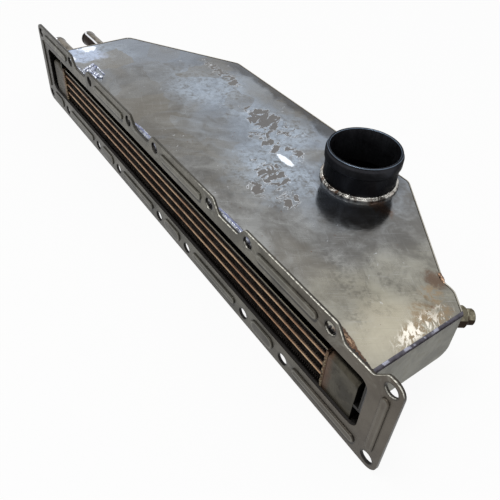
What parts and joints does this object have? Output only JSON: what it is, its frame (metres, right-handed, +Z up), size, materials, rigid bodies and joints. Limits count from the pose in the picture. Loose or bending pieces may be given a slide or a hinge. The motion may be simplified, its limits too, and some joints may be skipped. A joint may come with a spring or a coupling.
{
  "type": "engine aftercooler",
  "caption": "Charge-air cooler: finned tube core behind a long scalloped bolting flange, in a shallow welded plenum with a hose stub on its roof and two coolant tubes.",
  "frame": {"origin": "centre of the bolt pattern on the flange's front face", "axes": "+X along the flange towards the hose stub, +Y back into the plenum, +Z up through the roof"},
  "size_m": [0.7815, 0.2114, 0.1417],
  "materials": {
    "flange_steel": "dull mill finish with brown tint",
    "roof_steel": "semi-polished stainless with smudges and scratches",
    "pan_steel": "dull stainless",
    "end_steel": "matte grey stainless",
    "hidden_steel": "plain dull stainless",
    "rim_weld_metal": "ground weld",
    "dark_weld_metal": "heat-blued weld",
    "flange_weld_metal": "lumpy weld with brown heat stain",
    "black_pipe": "satin black",
    "bright_weld_metal": "shiny lumpy weld",
    "polished_tube": "bright drawn tube",
    "tank_metal": "dull, brown near the fins",
    "core_plate_metal": "dull grey",
    "copper_tube": "dull copper",
    "dark_fin": "soot-dark foil",
    "fitting_metal": "worn zinc plate",
    "washer_metal": "dull copper washer"
  },
  "bodies": {
    "root": {"mounting_flange": "flange_steel", "roof_plate": "roof_steel", "plenum_pan": "pan_steel", "near_end_plate": "end_steel", "bypass_baffle": "hidden_steel", "core_tray": "hidden_steel", "far_end_cap": "hidden_steel", "near_end_cap": "hidden_steel", "rim_weld": "rim_weld_metal", "near_seam_weld": "dark_weld_metal", "flange_weld": "flange_weld_metal", "inlet_pipe": "black_pipe", "inlet_weld": "bright_weld_metal", "tube_weld_front": "bright_weld_metal", "tube_weld_rear": "bright_weld_metal", "water_tube_front": "polished_tube", "water_tube_rear": "polished_tube", "near_tank": "tank_metal", "far_tank": "tank_metal", "tank_baffle": "tank_metal", "near_header_plate": "tank_metal", "far_header_plate": "tank_metal", "core_top_plate": "core_plate_metal", "core_bottom_plate": "core_plate_metal", "flat_tube_1": "copper_tube", "flat_tube_2": "copper_tube", "flat_tube_3": "copper_tube", "fin_strip_1": "dark_fin", "fin_strip_2": "dark_fin", "fin_strip_3": "dark_fin", "fin_strip_4": "dark_fin", "port_boss": "fitting_metal", "port_washer": "washer_metal", "port_plug": "fitting_metal"}
  },
  "joints": []
}
